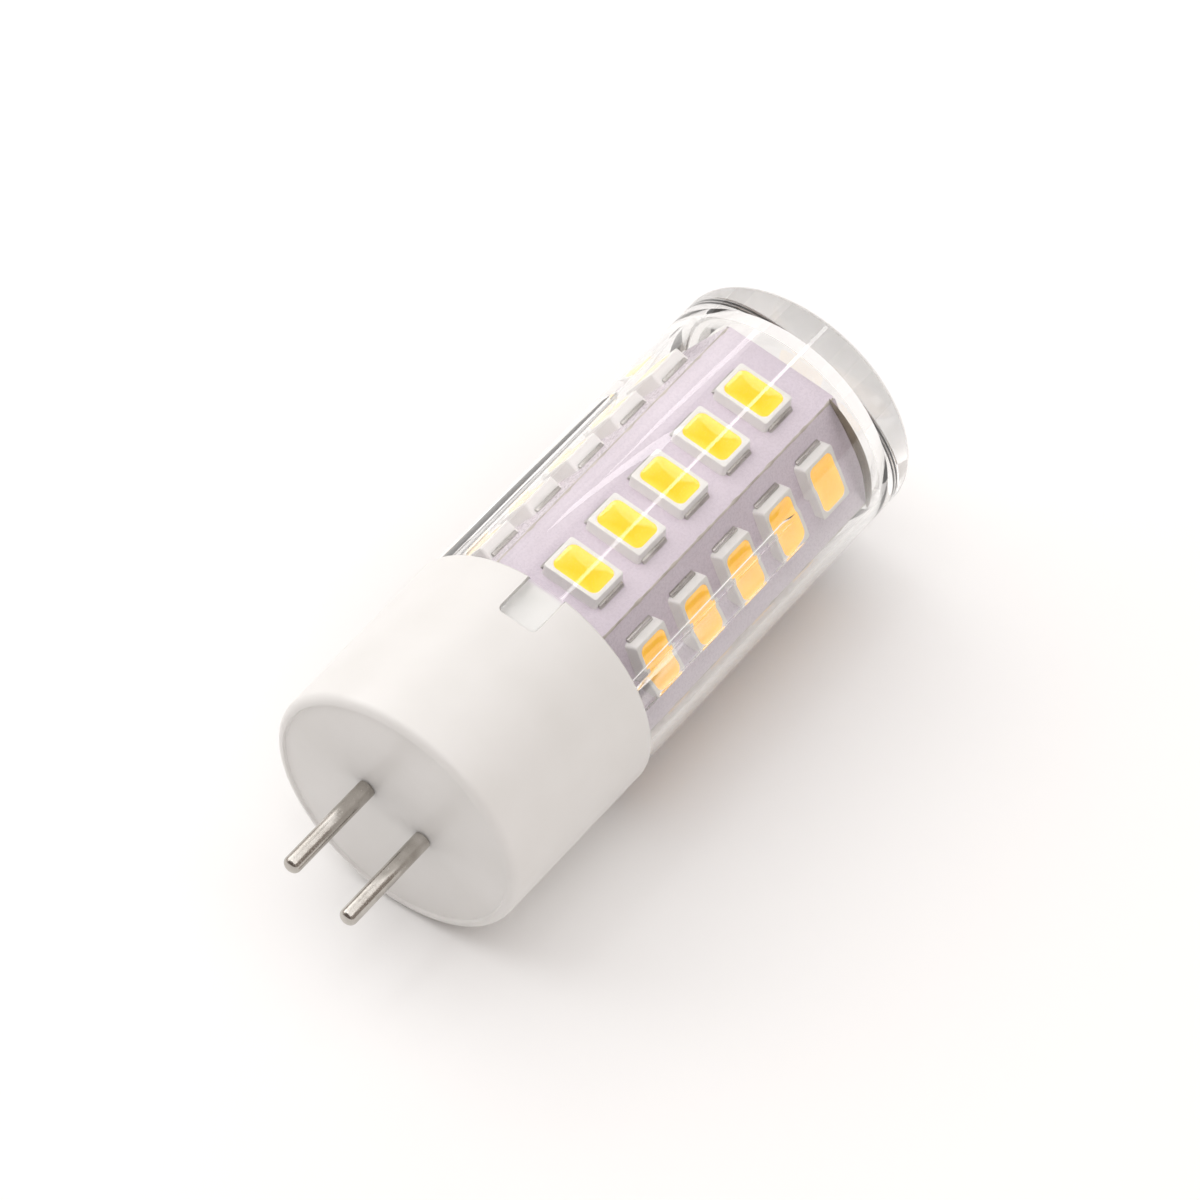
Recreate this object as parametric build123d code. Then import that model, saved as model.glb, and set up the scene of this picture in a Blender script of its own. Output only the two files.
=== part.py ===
from build123d import *
import math
import os

# Bi-pin LED capsule lamp, in millimetres.
# The lamp lies along X: the base's end face is at X = 0, the pins point to -X,
# the clear end to +X, and Z is up. An angle called a turn goes from +Z towards +Y.

os.makedirs("parts", exist_ok=True)

# Whole lamp
lamp_length = 37.05
cover_diameter = 15.78
cover_wall = 0.65
cover_end_wall = 1.5
cover_edge_round = 0.5
cover_corner_bevel = 1.4

# White base
base_length = 12.15
base_step = 0.21
base_draft = 0.5
base_end_wall = 1.8
base_end_round = 0.7
base_rim_bevel = 0.15

# Contact pins
pin_diameter = 1.05
pin_shank = 0.7
pin_spacing = 4.0
pin_reach = 6.5
pin_tip_round = 0.36
pin_turn = 65.6
pin_tail = 0.6

# Tongues of the cover in the notches of the base rim
tongue_width = 2.3
tongue_depth = 2.85
tongue_round = 0.35
tongue_count = 2

# Guide ribs inside the cover, over the rows beside the tongue's own
rib_width = 1.83
rib_shift = 0.085
rib_length = 15.15
rib_ramp = 0.9
rib_bead = 0.28
rib_bead_step = 0.04
rib_pad_rise = 0.26

# Column of LED boards
column_turn = -8.6
board_count = 6
board_thickness = 1.0
board_slit = 0.14
board_tab = 2.4
board_to_end = 1.6

# LED rows
leds_per_board = 5
led_from_base = 2.85
led_from_end = 3.35
row_offset = 0.35
end_led_count = 3
end_led_radius = 2.6

# One LED package
led_length = 3.4
led_width = 2.5
led_height = 0.75
led_draft = 6.0
led_rim = 0.22
led_window_depth = 0.35
led_window_bevel = 0.4
phosphor_dip = 0.03
terminal_width = 2.1
terminal_height = 0.34
terminal_lead = 0.12
terminal_foot = 0.36
terminal_pad = 0.05

# Boards in the base, and what stands on them
foot_thickness = 1.0
foot_depth = 2.15
foot_margin = 0.06
foot_ledge = 0.65
driver_thickness = 1.0
driver_lift = 1.6
driver_ledge = 0.8
feed_diameter = 0.7
feed_step = 1.6
feed_tail = 0.4
capacitor_diameter = 3.0
capacitor_bevel = 0.3
rectifier_length = 4.6
rectifier_width = 3.6
rectifier_height = 1.5
chip_length = 2.9
chip_width = 1.6
chip_height = 1.1
inductor_length = 2.5
inductor_width = 2.0
inductor_height = 1.2
resistor_length = 2.0
resistor_width = 1.25
resistor_height = 0.5
package_bevel = 0.2

# Clearances
fit_gap = 0.1
tongue_gap = 0.06
pin_gap = 0.02
slot_gap = 0.05
led_gap = 0.14
rib_gap = 0.06
fill_gap = 0.01
pin_lane = 0.8
part_margin = 0.4
capacitor_headroom = 1.0

# Radii and stations worked out from the sizes above
half_side_angle = math.radians(180 / board_count)
cover_radius = cover_diameter / 2
bore_radius = cover_radius - cover_wall
cover_end_inside = lamp_length - cover_end_wall
free_radius = bore_radius - led_gap
row_reach = row_offset + led_length / 2
led_top_height = math.sqrt(free_radius**2 - row_reach**2)
column_apothem = min(led_top_height - led_height, free_radius * math.cos(half_side_angle))
column_corner = column_apothem / math.cos(half_side_angle)
column_inside = column_apothem - board_thickness
rib_crest = column_apothem + led_height + rib_gap
rib_root = bore_radius + cover_wall / 2
rib_end = base_length + rib_length

foot_radius = column_corner + foot_margin
rim_bore = foot_radius + fit_gap
driver_bore = rim_bore - foot_ledge
driver_radius = driver_bore - fit_gap
floor_bore = driver_bore - driver_ledge
base_rim_radius = cover_radius + base_step
base_end_radius = base_rim_radius - base_length * math.tan(math.radians(base_draft))

foot_seat = base_length - foot_depth
foot_top = foot_seat + foot_thickness
driver_seat = base_end_wall + driver_lift
driver_top = driver_seat + driver_thickness
board_end = cover_end_inside - board_to_end
led_start = base_length + led_from_base
led_pitch = (board_end - led_from_end - led_start) / (leds_per_board - 1)
capacitor_height = foot_seat - driver_top - capacitor_headroom
pin_radius = pin_diameter / 2
shank_radius = pin_shank / 2
led_foot_spread = led_height * math.tan(math.radians(led_draft))
led_foot_length = led_length + 2 * led_foot_spread
led_foot_width = led_width + 2 * led_foot_spread


def across(station, turn=0.0):
    """Plane across the lamp: local Y points outwards at the turn, the normal is +X."""
    angle = math.radians(turn)
    return Plane(origin=(station, 0, 0), x_dir=(0, math.cos(angle), -math.sin(angle)), z_dir=(1, 0, 0))


def facing(turn, radius):
    """Plane that faces outwards at the turn: local X runs along the lamp."""
    angle = math.radians(turn)
    outwards = Vector(0, math.sin(angle), math.cos(angle))
    return Plane(origin=outwards * radius, x_dir=(1, 0, 0), z_dir=outwards)


def board_turns():
    return [column_turn - 360 / board_count * i for i in range(board_count)]


def pin_spots():
    """Centres of the two pins across the lamp, as X and Y of the plane across it."""
    angle = math.radians(pin_turn)
    half = pin_spacing / 2
    spot = (half * math.sin(angle), half * math.cos(angle))
    return [spot, (-spot[0], -spot[1])]


def rod(station, spot, radius, length):
    return extrude(across(station) * Pos(*spot) * Circle(radius), length)


def tongue_prism(gap, reach):
    """Blocks that cut out the tongues, or with a gap the notches, reaching past the mouth."""
    width = tongue_width + 2 * gap
    depth = tongue_depth + gap
    half = width / 2
    bed = math.sqrt(rim_bore**2 - half**2) - tongue_gap
    bottom = base_length - depth
    top = base_length + reach
    outline = make_face(Polyline((bottom, -half), (top, -half), (top, half), (bottom, half), close=True))
    outline = fillet(outline.vertices().group_by(Axis.X)[0], tongue_round + gap)
    prism = extrude(outline, base_rim_radius)
    turns = [column_turn + 360 / tongue_count * i for i in range(tongue_count)]
    return [facing(turn, bed).location * prism for turn in turns]


def make_base():
    """Drafted cup with two inner ledges, pin holes and rim notches."""
    outline = make_face(
        Polyline(
            (0, 0),
            (0, base_end_radius),
            (base_length, base_rim_radius),
            (base_length, rim_bore),
            (foot_seat, rim_bore),
            (foot_seat, driver_bore),
            (driver_seat, driver_bore),
            (driver_seat, floor_bore),
            (base_end_wall, floor_bore),
            (base_end_wall, 0),
            close=True,
        )
    )
    outer = outline.vertices().sort_by(Axis.Y)[-2:].sort_by(Axis.X)
    outline = chamfer(outer[1], base_rim_bevel)
    end_corner = outline.vertices().group_by(Axis.X)[0].sort_by(Axis.Y)[-1]
    outline = fillet(end_corner, base_end_round)
    base = revolve(outline, Axis.X)
    for spot in pin_spots():
        base -= rod(0, spot, shank_radius + pin_gap, base_end_wall)
    for notch in tongue_prism(tongue_gap, base_length):
        base -= notch
    return base


def make_rib(turn, side):
    """Rib on the bore: a sloping pad with a bead along its upper edge, ramped to the bore at its far end."""
    low = -rib_width / 2 - rib_shift
    high = rib_width / 2 - rib_shift
    section = make_face(
        Polyline(
            (side * low, rib_root),
            (side * low, rib_crest),
            (side * (high - rib_bead), rib_crest + rib_pad_rise),
            (side * (high - rib_bead), rib_crest + rib_bead_step),
            (side * high, rib_crest + rib_bead_step),
            (side * high, rib_root),
            close=True,
        )
    )
    tip = rib_end + rib_ramp
    ramp = make_face(
        Polyline(
            (rib_end - rib_ramp, rib_crest),
            (tip, 2 * bore_radius - rib_crest),
            (tip, rib_crest),
            close=True,
        )
    )
    rib = extrude(across(base_length, turn) * section, tip - base_length)
    return rib - facing(turn, 0).location * extrude(Plane.XZ * ramp, rib_width, both=True)


def make_cover():
    """Clear tube with a thick bevelled end, two guide ribs, and tongues that run on past its mouth."""
    outline = make_face(
        Polyline(
            (base_length, bore_radius),
            (base_length, cover_radius),
            (lamp_length, cover_radius),
            (lamp_length, 0),
            (cover_end_inside, 0),
            (cover_end_inside, bore_radius - cover_corner_bevel),
            (cover_end_inside - cover_corner_bevel, bore_radius),
            close=True,
        )
    )
    edge = outline.vertices().group_by(Axis.X)[-1].sort_by(Axis.Y)[-1]
    outline = fillet(edge, cover_edge_round)
    cover = revolve(outline, Axis.X)
    wall = Circle(cover_radius) - Circle(bore_radius)
    sleeve = extrude(across(base_length - tongue_depth) * wall, tongue_depth + cover_wall)
    for prism in tongue_prism(0, cover_wall):
        cover += sleeve & prism
    for side in (1, -1):
        cover += make_rib(column_turn - side * 360 / board_count, side)
    return cover


def make_pin(spot):
    """Contact with a rounded tip, and a thinner shank through the end wall and the driver board."""
    contact = rod(-pin_reach, spot, pin_radius, pin_reach)
    contact = fillet(contact.edges().group_by(Axis.X)[0], pin_tip_round)
    return contact + rod(0, spot, shank_radius, driver_top + pin_tail)


def make_side_board(turn):
    """Mitred board with a tab that stands in the foot board."""
    slope = math.tan(half_side_angle)
    outer = column_apothem * slope - board_slit / 2
    inner = column_inside * slope - board_slit / 2
    section = make_face(
        Polyline(
            (-inner, column_inside),
            (inner, column_inside),
            (outer, column_apothem),
            (-outer, column_apothem),
            close=True,
        )
    )
    tab = Pos(0, column_inside + board_thickness / 2) * Rectangle(board_tab, board_thickness)
    board = extrude(across(foot_top, turn) * section, board_end - foot_top)
    return board + extrude(across(foot_seat, turn) * tab, foot_thickness)


def make_foot_board():
    """Round board with a slot for each tab and a hole for each feed lead."""
    board = extrude(across(foot_seat) * Circle(foot_radius), foot_thickness)
    slot = Rectangle(board_tab + 2 * slot_gap, board_thickness + 2 * slot_gap)
    for turn in board_turns():
        plane = across(foot_seat, turn) * Pos(0, column_inside + board_thickness / 2)
        board -= extrude(plane * slot, foot_thickness)
    for spot in feed_spots():
        board -= rod(foot_seat, spot, feed_diameter / 2 + slot_gap, foot_thickness)
    return board


def make_end_board():
    """Hexagonal board between the far ends of the side boards."""
    section = RegularPolygon(column_inside - slot_gap, board_count, major_radius=False)
    return extrude(across(board_end - board_thickness, column_turn) * section, board_thickness)


def make_driver_board():
    board = extrude(across(driver_seat) * Circle(driver_radius), driver_thickness)
    for spot in pin_spots():
        board -= rod(driver_seat, spot, shank_radius + slot_gap, driver_thickness)
    for spot in feed_spots():
        board -= rod(driver_seat, spot, feed_diameter / 2 + slot_gap, driver_thickness)
    return board


def on_driver(along, beside):
    """Turns a place along and beside the line of the pins into one across the lamp."""
    angle = math.radians(pin_turn)
    y = along * math.sin(angle) - beside * math.cos(angle)
    z = along * math.cos(angle) + beside * math.sin(angle)
    return (y, z)


def feed_spots():
    reach = pin_spacing / 2 + feed_step
    return [on_driver(side * reach, 0) for side in (1, -1)]


def make_feed_lead(spot):
    return rod(driver_seat, spot, feed_diameter / 2, foot_top - driver_seat + feed_tail)


def seated(along, beside):
    """Place on the driver board, turned with the line of the pins."""
    return across(driver_top).location * Pos(*on_driver(along, beside)) * Rot(0, 0, 90 - pin_turn)


def rim_reach(offset):
    """How far a corner at this offset from a middle line may reach towards the board's rim."""
    return math.sqrt((driver_radius - part_margin) ** 2 - offset**2)


def make_package(length, width, height):
    """Flat package with a bevelled top."""
    body = Box(length, width, height, align=(Align.CENTER, Align.CENTER, Align.MIN))
    return chamfer(body.faces().sort_by(Axis.Z)[-1].edges(), package_bevel)


def beside_pins(length, width, side):
    """Centre of a package that lies beside the pins, out towards the rim."""
    return (side * (rim_reach(pin_lane + width) - length / 2), pin_lane + width / 2)


def make_rectifier():
    centre = rim_reach(rectifier_length / 2) - rectifier_width / 2
    return seated(0, -centre) * make_package(rectifier_length, rectifier_width, rectifier_height)


def make_chip():
    along, beside = beside_pins(chip_length, chip_width, 1)
    return seated(along, beside) * make_package(chip_length, chip_width, chip_height)


def make_inductor():
    along, beside = beside_pins(inductor_length, inductor_width, -1)
    return seated(along, beside) * make_package(inductor_length, inductor_width, inductor_height)


def make_resistor(side):
    along, beside = beside_pins(resistor_length, resistor_width, side)
    return seated(along, -beside) * make_package(resistor_length, resistor_width, resistor_height)


def make_capacitor():
    """Round can that stands on the board, with a bevelled top edge."""
    can = extrude(Circle(capacitor_diameter / 2), capacitor_height)
    can = chamfer(can.edges().group_by(Axis.Z)[-1], capacitor_bevel)
    return seated(0, driver_radius - part_margin - capacitor_diameter / 2) * can


def window_outline(gap):
    """Window of an LED, a rectangle with cut corners, drawn in by a gap."""
    inset = led_rim + gap
    window = Rectangle(led_width - 2 * inset, led_length - 2 * inset)
    return chamfer(window.vertices(), led_window_bevel)


def make_led_body():
    """White package with drafted sides and a window in its top."""
    body = extrude(Rectangle(led_foot_width, led_foot_length), led_height, taper=led_draft)
    return body - extrude(Pos(0, 0, led_height - led_window_depth) * window_outline(0), led_window_depth)


def make_phosphor():
    """Fill cast in the window, a little below the rim."""
    fill = window_outline(fill_gap)
    return extrude(Pos(0, 0, led_height - led_window_depth) * fill, led_window_depth - phosphor_dip)


def make_terminals():
    """Lead and solder fillet at both ends of the package, against its drafted ends."""
    foot = led_foot_length / 2
    lean = terminal_height * math.tan(math.radians(led_draft))
    section = make_face(
        Polyline(
            (foot, 0),
            (foot + terminal_foot, 0),
            (foot + terminal_foot, terminal_pad),
            (foot + terminal_lead, terminal_height),
            (foot - lean, terminal_height),
            close=True,
        )
    )
    terminal = extrude(Plane.YZ * section, terminal_width / 2, both=True)
    return [terminal, Rot(0, 0, 180) * terminal]


def row_seats(index, turn):
    """Seats of one row: rows lean in pairs towards the corner between their boards."""
    lean = -row_offset if index % 2 == 0 else row_offset
    plane = facing(turn, column_apothem).location
    stations = [led_start + led_pitch * i for i in range(leds_per_board)]
    return [plane * Pos(station, lean, 0) for station in stations]


def end_seats():
    """Seats on the end board, the long side of each LED across its radius."""
    turns = [column_turn + 360 / end_led_count * i for i in range(end_led_count)]
    return [
        across(board_end, turn).location * Pos(0, end_led_radius, 0) * Rot(0, 0, 90) for turn in turns
    ]


def write(shape, node):
    export_step(shape, f"parts/{node}.step")


write(make_base(), "base_housing")
write(make_cover(), "clear_cover")
for number, spot in enumerate(pin_spots(), 1):
    write(make_pin(spot), f"contact_pin_{number}")

write(make_driver_board(), "driver_board")
write(make_rectifier(), "bridge_rectifier")
write(make_chip(), "driver_chip")
write(make_inductor(), "power_inductor")
write(make_capacitor(), "smoothing_capacitor")
for number, side in enumerate((1, -1), 1):
    write(make_resistor(side), f"sense_resistor_{number}")
for number, spot in enumerate(feed_spots(), 1):
    write(make_feed_lead(spot), f"feed_lead_{number}")

write(make_foot_board(), "foot_board")
write(make_end_board(), "end_board")
for number, turn in enumerate(board_turns(), 1):
    write(make_side_board(turn), f"led_board_{number}")

led_body = make_led_body()
phosphor = make_phosphor()
terminals = make_terminals()
side_rows = [row_seats(index, turn) for index, turn in enumerate(board_turns())]
side_seats = [seat for row in side_rows for seat in row]
for row_number, row in enumerate(side_rows, 1):
    for number, seat in enumerate(row, 1):
        write(seat * led_body, f"led_body_{row_number}_{number}")
for number, seat in enumerate(end_seats(), 1):
    write(seat * led_body, f"end_led_body_{number}")
write(Compound([seat * phosphor for seat in side_seats]), "side_phosphors")
write(Compound([seat * phosphor for seat in end_seats()]), "end_phosphors")
write(Compound([seat * part for seat in side_seats for part in terminals]), "side_led_terminals")
write(Compound([seat * part for seat in end_seats() for part in terminals]), "end_led_terminals")
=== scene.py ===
"""Bi-pin LED capsule lamp: white base, bare pins and a clear moulded cover over a six-sided column of LEDs.

The lamp lies along X with its end face at X = 0. Sizes are in millimetres and become metres where a
mesh is written. A turn goes from +Z towards +Y; on a face, u runs across it and n points outwards.
"""

import logging
import math
from dataclasses import dataclass
from enum import Enum
from typing import Any, ClassVar, Sequence

import bmesh
import bpy
import numpy as np
from mathutils import Matrix


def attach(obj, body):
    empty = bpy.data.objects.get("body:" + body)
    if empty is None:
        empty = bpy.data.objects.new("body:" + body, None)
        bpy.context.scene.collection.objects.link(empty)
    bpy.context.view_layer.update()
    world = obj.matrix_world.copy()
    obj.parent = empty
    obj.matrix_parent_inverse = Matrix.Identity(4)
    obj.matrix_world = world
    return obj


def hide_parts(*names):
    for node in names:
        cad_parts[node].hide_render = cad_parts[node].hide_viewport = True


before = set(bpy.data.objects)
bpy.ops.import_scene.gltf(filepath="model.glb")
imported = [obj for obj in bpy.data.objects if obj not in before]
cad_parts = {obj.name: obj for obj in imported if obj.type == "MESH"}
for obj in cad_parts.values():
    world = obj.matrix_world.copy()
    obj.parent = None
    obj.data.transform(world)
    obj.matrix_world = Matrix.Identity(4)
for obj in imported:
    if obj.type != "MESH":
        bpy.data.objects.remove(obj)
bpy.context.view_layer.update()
LOG = logging.getLogger("lamp")
MM = 0.001
WELD = 2e-7
BODY = "root"
Colour = tuple[float, float, float]
Place = tuple[float, float, float]
Range = tuple[float, float]
Points = np.ndarray
Faces = np.ndarray


class Finish(Enum):
    """Material slots of the record, logged by name with each piece."""

    BASE = "base_white"
    COVER = "cover_clear"
    PIN = "pin_metal"
    LAMINATE = "driver_laminate"
    LED = "led_white"
    PHOSPHOR = "phosphor"
    SOLDER = "solder"


class Edge(Enum):
    """How a piece's faces meet: the steepest fold, in degrees, that is still shaded smooth."""

    MOULDED = 32.0
    ROUND = 50.0


def grid_quads(rows: int, columns: int, joined_rows: bool = False) -> Faces:
    """Quads between neighbouring points of a grid whose last column joins its first.

    Args:
        rows: number of loops.
        columns: points in each loop.
        joined_rows: whether the last loop also joins the first.

    Returns:
        One row of four point numbers for each quad.
    """
    bands = rows if joined_rows else rows - 1
    row, column = np.meshgrid(np.arange(bands), np.arange(columns), indexing="ij")
    after = (column + 1) % columns
    here, below = row * columns, (row + 1) % rows * columns
    return np.stack([here + column, here + after, below + after, below + column], axis=-1).reshape(-1, 4)


def facing_outwards(points: Points, quads: Faces) -> Faces:
    """Turns all quads of a closed shell round where the volume they enclose counts as negative.

    Args:
        points: the shell's points.
        quads: its quads, all turned the same way.

    Returns:
        The quads with their normals pointing outwards.
    """
    a, b, c, d = (points[quads[:, i]] for i in range(4))
    volume = np.einsum("ij,ij->", np.cross(a, b), c) + np.einsum("ij,ij->", np.cross(a, c), d)
    return quads if volume > 0 else quads[:, ::-1]


def repeated(points: Points, quads: Faces, seats: Points) -> tuple[Points, Faces]:
    """One small shell set on many seats.

    Args:
        points: the shell's points in the frame of a seat.
        quads: the shell's quads.
        seats: one 3 by 4 matrix for each seat: the three directions, then the place.

    Returns:
        The points and quads of all the copies.
    """
    placed = np.einsum("sij,nj->sni", seats[:, :, :3], points) + seats[:, None, :, 3]
    shifted = quads[None] + np.arange(len(seats))[:, None, None] * len(points)
    return placed.reshape(-1, 3), shifted.reshape(-1, 4)


def rounded_rectangle(half_x: float, half_y: float, corner: float, per_corner: int) -> Points:
    """Loop round a rectangle with round corners: four quarter circles, one on each corner's centre.

    Args:
        half_x: half its size along x.
        half_y: half its size along y.
        corner: radius of its corners.
        per_corner: points on each corner.

    Returns:
        The loop's points as x and y, anticlockwise.
    """
    quarter = np.linspace(0, math.pi / 2, per_corner)
    angle = (np.arange(4)[:, None] * math.pi / 2 + quarter[None]).ravel()
    sign_x = np.repeat([1, -1, -1, 1], per_corner)
    sign_y = np.repeat([1, 1, -1, -1], per_corner)
    x = sign_x * (half_x - corner) + corner * np.cos(angle)
    y = sign_y * (half_y - corner) + corner * np.sin(angle)
    return np.stack([x, y], axis=-1)


def quarter_round(radius: float, steps: int) -> tuple[np.ndarray, np.ndarray]:
    """Quarter circle between a wall and the face that closes it.

    Args:
        radius: its radius.
        steps: points on it.

    Returns:
        How far each point has come along the wall's direction, and how far inwards.
    """
    angle = np.linspace(0, math.pi / 2, steps)
    return radius * np.sin(angle), radius * (1 - np.cos(angle))


def face_seats(turn: float, height: float, stations: Sequence[float], lean: float) -> Points:
    """Seats along a face of the column: x along the lamp, y across the face, z outwards.

    Args:
        turn: the face's turn in degrees.
        height: the face's distance from the axis.
        stations: places along the lamp.
        lean: shift across the face.

    Returns:
        A 3 by 4 matrix for each seat.
    """
    sine, cosine = math.sin(math.radians(turn)), math.cos(math.radians(turn))
    across, outwards = np.array([0, cosine, -sine]), np.array([0, sine, cosine])
    seats = np.zeros((len(stations), 3, 4))
    seats[:, :, 0] = (1, 0, 0)
    seats[:, :, 1] = across
    seats[:, :, 2] = outwards
    seats[:, :, 3] = across * lean + outwards * height
    seats[:, 0, 3] += np.asarray(stations)
    return seats


def end_seats(station: float, turns: Sequence[float], radius: float) -> Points:
    """Seats on the face across the lamp's far end: x outwards along the radius, y round it, z along +X.

    Args:
        station: the face's place along the lamp.
        turns: turns of the seats in degrees.
        radius: their distance from the axis.

    Returns:
        A 3 by 4 matrix for each seat.
    """
    angle = np.radians(turns)
    zero = np.zeros_like(angle)
    outwards = np.stack([zero, np.sin(angle), np.cos(angle)], axis=-1)
    forwards = np.tile([1.0, 0.0, 0.0], (len(angle), 1))
    seats = np.stack([outwards, np.cross(forwards, outwards), forwards, outwards * radius], axis=-1)
    seats[:, 0, 3] += station
    return seats


def placing(axes: np.ndarray, place: Sequence[float]) -> Matrix:
    """Matrix that sets an object in the scene.

    Args:
        axes: its three directions, one in each column.
        place: where it is.

    Returns:
        The matrix, four by four.
    """
    return Matrix([[*row, part] for row, part in zip(axes, place)] + [[0, 0, 0, 1]])


class Piece:
    """A new mesh of the lamp, which stands for CAD nodes or is added to them."""

    def __init__(self, name: str, points: Points, quads: Faces, edge: Edge = Edge.MOULDED) -> None:
        """Writes the mesh in metres, merges its poles and seams, and shades it.

        Args:
            name: the piece's name.
            points: its points in millimetres.
            quads: its quads.
            edge: which folds stay sharp.
        """
        mesh = bpy.data.meshes.new(name)
        mesh.from_pydata((points * MM).tolist(), [], quads.tolist())
        sheet = bmesh.new()
        sheet.from_mesh(mesh)
        bmesh.ops.remove_doubles(sheet, verts=sheet.verts, dist=WELD)
        sheet.to_mesh(mesh)
        sheet.free()
        mesh.polygons.foreach_set("use_smooth", np.ones(len(mesh.polygons), dtype=bool))
        mesh.set_sharp_from_angle(angle=math.radians(edge.value))
        mesh.update()
        self.mesh = mesh
        self.obj = bpy.data.objects.new(name, mesh)
        bpy.context.scene.collection.objects.link(self.obj)

    def stand_for(self, *nodes: str) -> "Piece":
        """Hides the CAD nodes that this piece stands for, and rides on their body.

        Args:
            nodes: names of the nodes.

        Returns:
            The piece.
        """
        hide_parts(*nodes)
        return self.ride()

    def ride(self) -> "Piece":
        """Makes the piece move with the lamp."""
        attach(self.obj, BODY)
        return self

    def dress(self, material: bpy.types.Material, finish: Finish) -> "Piece":
        """Puts a material on the piece and logs the piece with the name of the record's slot for it.

        Args:
            material: the material.
            finish: the slot.

        Returns:
            The piece.
        """
        self.mesh.materials.append(material)
        LOG.info("%s: %d faces, %s", self.obj.name, len(self.mesh.polygons), finish.value)
        return self

    def mark(self, name: str, values: np.ndarray) -> "Piece":
        """Keeps one number for each point, for the material to read.

        Args:
            name: name of the attribute.
            values: the numbers, in the order of the mesh's points.

        Returns:
            The piece.
        """
        layer = self.mesh.attributes.new(name, "FLOAT", "POINT")
        layer.data.foreach_set("value", values.astype(np.float32))
        return self

    def places(self) -> Points:
        """Reads the points of the finished mesh.

        Returns:
            The points in millimetres.
        """
        flat = np.zeros(len(self.mesh.vertices) * 3, dtype=np.float32)
        self.mesh.vertices.foreach_get("co", flat)
        return flat.reshape(-1, 3).astype(float) / MM


class NodeSheet:
    """A node tree with short calls that place nodes and join them."""

    MIX_FIRST, MIX_SECOND, MIX_RESULT = 6, 7, 2

    def __init__(self, tree: bpy.types.NodeTree) -> None:
        """Keeps the tree."""
        self.tree = tree

    def place(self, kind: str, inputs: dict[Any, Any] | None = None, **settings: Any) -> bpy.types.Node:
        """Adds a node.

        Args:
            kind: the node's type.
            inputs: values for its input sockets, or sockets of other nodes to join to them.
            settings: values for its properties.

        Returns:
            The node.
        """
        node = self.tree.nodes.new(kind)
        for name, value in settings.items():
            setattr(node, name, value)
        for name, value in (inputs or {}).items():
            self.feed(node, name, value)
        return node

    def feed(self, node: bpy.types.Node, name: str | int, value: Any) -> None:
        """Sets an input socket, or joins another node's output to it.

        Args:
            node: the node that has the input.
            name: the input's name or number.
            value: the value, or the socket to join.
        """
        socket = node.inputs[name]
        if isinstance(value, bpy.types.NodeSocket):
            self.tree.links.new(value, socket)
        elif isinstance(value, tuple) and len(value) == 3 and socket.type == "RGBA":
            socket.default_value = (*value, 1.0)
        else:
            socket.default_value = value

    def spread(self, value: bpy.types.NodeSocket, into: Range, given: Range = (0.0, 1.0)) -> bpy.types.NodeSocket:
        """Carries a value from one range to another, held at its ends.

        Args:
            value: the socket that gives it.
            into: the new range.
            given: the range that becomes the new one.

        Returns:
            The socket with the new value.
        """
        inputs = {"Value": value, "From Min": given[0], "From Max": given[1], "To Min": into[0], "To Max": into[1]}
        return self.place("ShaderNodeMapRange", inputs).outputs["Result"]

    def blend(self, share: bpy.types.NodeSocket, first: Any, second: Any) -> bpy.types.NodeSocket:
        """Mixes two colours by a share that changes over the surface.

        Args:
            share: how much of the second colour shows.
            first: colour, or a socket that gives it, where the share is 0.
            second: colour, or a socket that gives it, where the share is 1.

        Returns:
            The socket with the mixed colour.
        """
        inputs = {"Factor": share, self.MIX_FIRST: first, self.MIX_SECOND: second}
        return self.place("ShaderNodeMix", inputs, data_type="RGBA").outputs[self.MIX_RESULT]

    def math(self, operation: str, *values: Any) -> bpy.types.NodeSocket:
        """One sum on values that change over the surface.

        Args:
            operation: the sum, by Blender's name for it.
            values: numbers, or sockets that give them, in the sum's order.

        Returns:
            The socket with the result.
        """
        node = self.place("ShaderNodeMath", dict(enumerate(values)), operation=operation)
        return node.outputs[0]


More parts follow.
